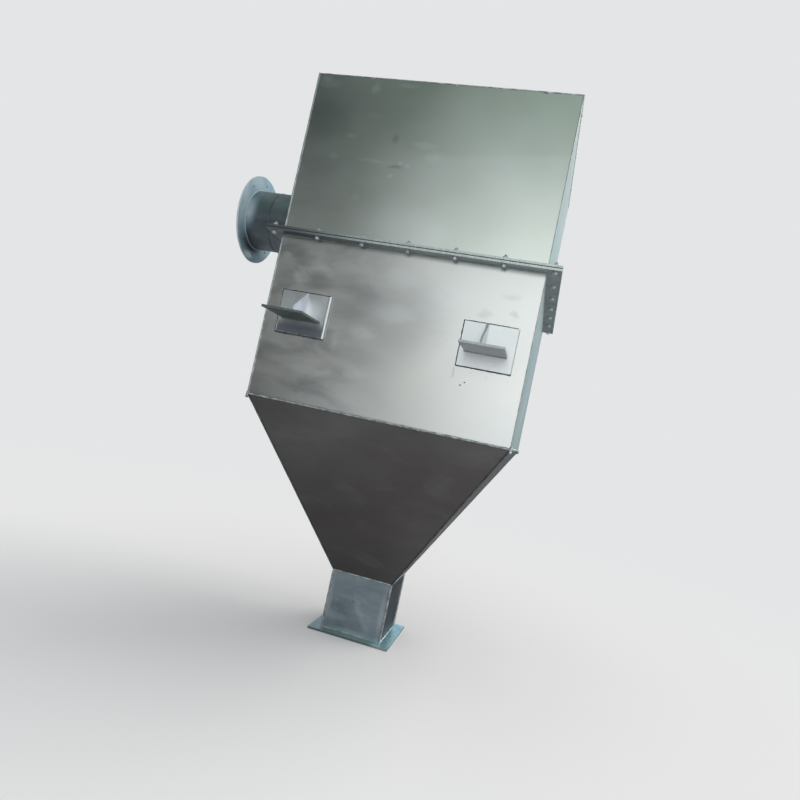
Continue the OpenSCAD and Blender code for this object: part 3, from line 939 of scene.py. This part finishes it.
# Pale studio. Metal mirrors the pale backdrop too, shaped by a dark flag to its left, paler ones behind it
# and above its front, and a grey ceiling. A flag is a direction, the cosines it begins and ends at, and its
# tone
studio = {
    "backdrop": "#e4e5e6", "ambient": 0.95,
    "flags": [((-0.67, -0.74, 0.2), 0.718, 0.945, "#3f474a"), ((0.1, 1.0, 0.0), 0.93, 0.99, "#becdd0"),
              ((0.1, 1.0, 0.45), 0.8, 0.95, "#dcf6fd"), ((0.0, 0.0, 1.0), 0.28, 0.56, "#b9bbba"),
              ((0.0, -0.5, 0.866), 0.72, 0.9, "#dcffeb")],
    "mirroredFloor": "#a9a9aa",
}


# How much of the pale surroundings the metal mirrors in a direction
def flagLevel(tree, direction):
    level = "#ffffff"
    for aim, begin, end, tone in studio["flags"]:
        toward = addNode(
            tree, "VectorMath", [direction, Vector(aim).normalized()], operation="DOT_PRODUCT")
        flag = addNode(tree, "MapRange", [toward, begin, end, 0.0, 1.0], interpolation_type="SMOOTHSTEP")
        level = addNode(tree, "Mix", [flag, level, tone], data_type="RGBA", blend_type="MULTIPLY")
    return level


# Pale floor. Far out it glows at its own colour, so that no horizon shows behind the tilted camera
floorLook = {"size": 60.0, "colour": "#e4e5e6", "fadeFrom": 1.6, "fadeTo": 5.0}


def makeFloor():
    bpy.ops.object.select_all(action="DESELECT")
    bpy.ops.mesh.primitive_circle_add(vertices=96, radius=floorLook["size"], fill_type="NGON")
    floor = bpy.context.object
    floor.name = "paleFloor"
    material, tree, shader, place = newMaterial("paintedFloor")
    colour = floorLook["colour"]
    glossy = addNode(tree, "LightPath").node.outputs["Is Glossy Ray"]
    shade = addNode(
        tree, "Mix", [glossy, colour, studio["mirroredFloor"]], data_type="RGBA", blend_type="MULTIPLY")
    feed(tree, shader, {"Base Color": shade, "Roughness": 0.9, "Specular IOR Level": 0.1})
    far = addNode(tree, "VectorMath", [place], operation="LENGTH")
    fade = [far, floorLook["fadeFrom"], floorLook["fadeTo"]]
    fade = addNode(tree, "MapRange", fade, interpolation_type="SMOOTHSTEP")
    outward = addNode(tree, "VectorMath", [place], operation="NORMALIZE")
    flagged = addNode(
        tree, "Mix", [1.0, shade, flagLevel(tree, outward)], data_type="RGBA", blend_type="MULTIPLY")
    flagged = addNode(tree, "Mix", [glossy, colour, flagged], data_type="RGBA")
    glow = addNode(tree, "Emission", [flagged, 1.0])
    mix = addNode(tree, "MixShader", [fade, shader.outputs[0], glow])
    output = next(node for node in tree.nodes if node.type == "OUTPUT_MATERIAL")
    feed(tree, output, [mix])
    floor.data.materials.append(material)


def makeWorld():
    world = bpy.data.worlds.new("paleStudio")
    bpy.context.scene.world = world
    world.use_nodes = True
    tree = world.node_tree
    tree.nodes.clear()
    ray = addNode(tree, "LightPath").node.outputs
    colour = studio["backdrop"]
    level = flagLevel(tree, addNode(tree, "TexCoord").node.outputs["Generated"])
    level = addNode(tree, "Mix", [1.0, colour, level], data_type="RGBA", blend_type="MULTIPLY")
    ambient = addNode(tree, "Background", [colour, studio["ambient"]])
    mirrored = addNode(tree, "Background", [level, 1.0])
    seen = addNode(tree, "Background", [colour, 1.0])
    glossy = addNode(tree, "Math", [ray["Is Glossy Ray"], ray["Is Transmission Ray"]], operation="MAXIMUM")
    mix = addNode(tree, "MixShader", [glossy, ambient, mirrored])
    mix = addNode(tree, "MixShader", [ray["Is Camera Ray"], mix, seen])
    addNode(tree, "OutputWorld", [mix])


lamps = {
    "softSun": {"kind": "SUN", "place": (2.4, 2.4, 4.4), "aim": (0, 0, 1), "energy": 1.3, "spread": 50,
                "colour": "#fffaf2"},
    "frontBox": {"kind": "AREA", "place": (0.75, -6.0, 2.05), "aim": (0.5, -0.5, 1.3), "energy": 51,
                 "size": (4.6, 3.8), "colour": "#f0f6f7"},
    "leftStrip": {"kind": "AREA", "place": (-3.0, -6.0, 2.2), "aim": (-0.2, -0.5, 1.5), "energy": 4.2,
                  "size": (3.2, 1.3), "colour": "#f4f6f2"},
    "dayGlow": {"kind": "AREA", "place": (0.95, -6.0, 1.55), "aim": (0.45, -0.5, 1.2), "energy": 3.2,
                "size": (1.4, 1.5), "colour": "#d8eafa"},
}


def addLamps():
    for name, lamp in lamps.items():
        bpy.ops.object.light_add(type=lamp["kind"], location=lamp["place"])
        light = bpy.context.object
        light.name = name
        light.data.energy = lamp["energy"]
        light.data.color = linear(lamp["colour"])[:3]
        if lamp["kind"] == "SUN":
            light.data.angle = math.radians(lamp["spread"])
        else:
            light.data.shape = "RECTANGLE"
            light.data.size, light.data.size_y = lamp["size"]
        aim = Vector(lamp["aim"]) - Vector(lamp["place"])
        light.rotation_euler = aim.to_track_quat("-Z", "Y").to_euler()


makeFloor()
makeWorld()
addLamps()
bpy.context.scene.view_settings.view_transform = "Standard"
print("floor, studio and lamps set")
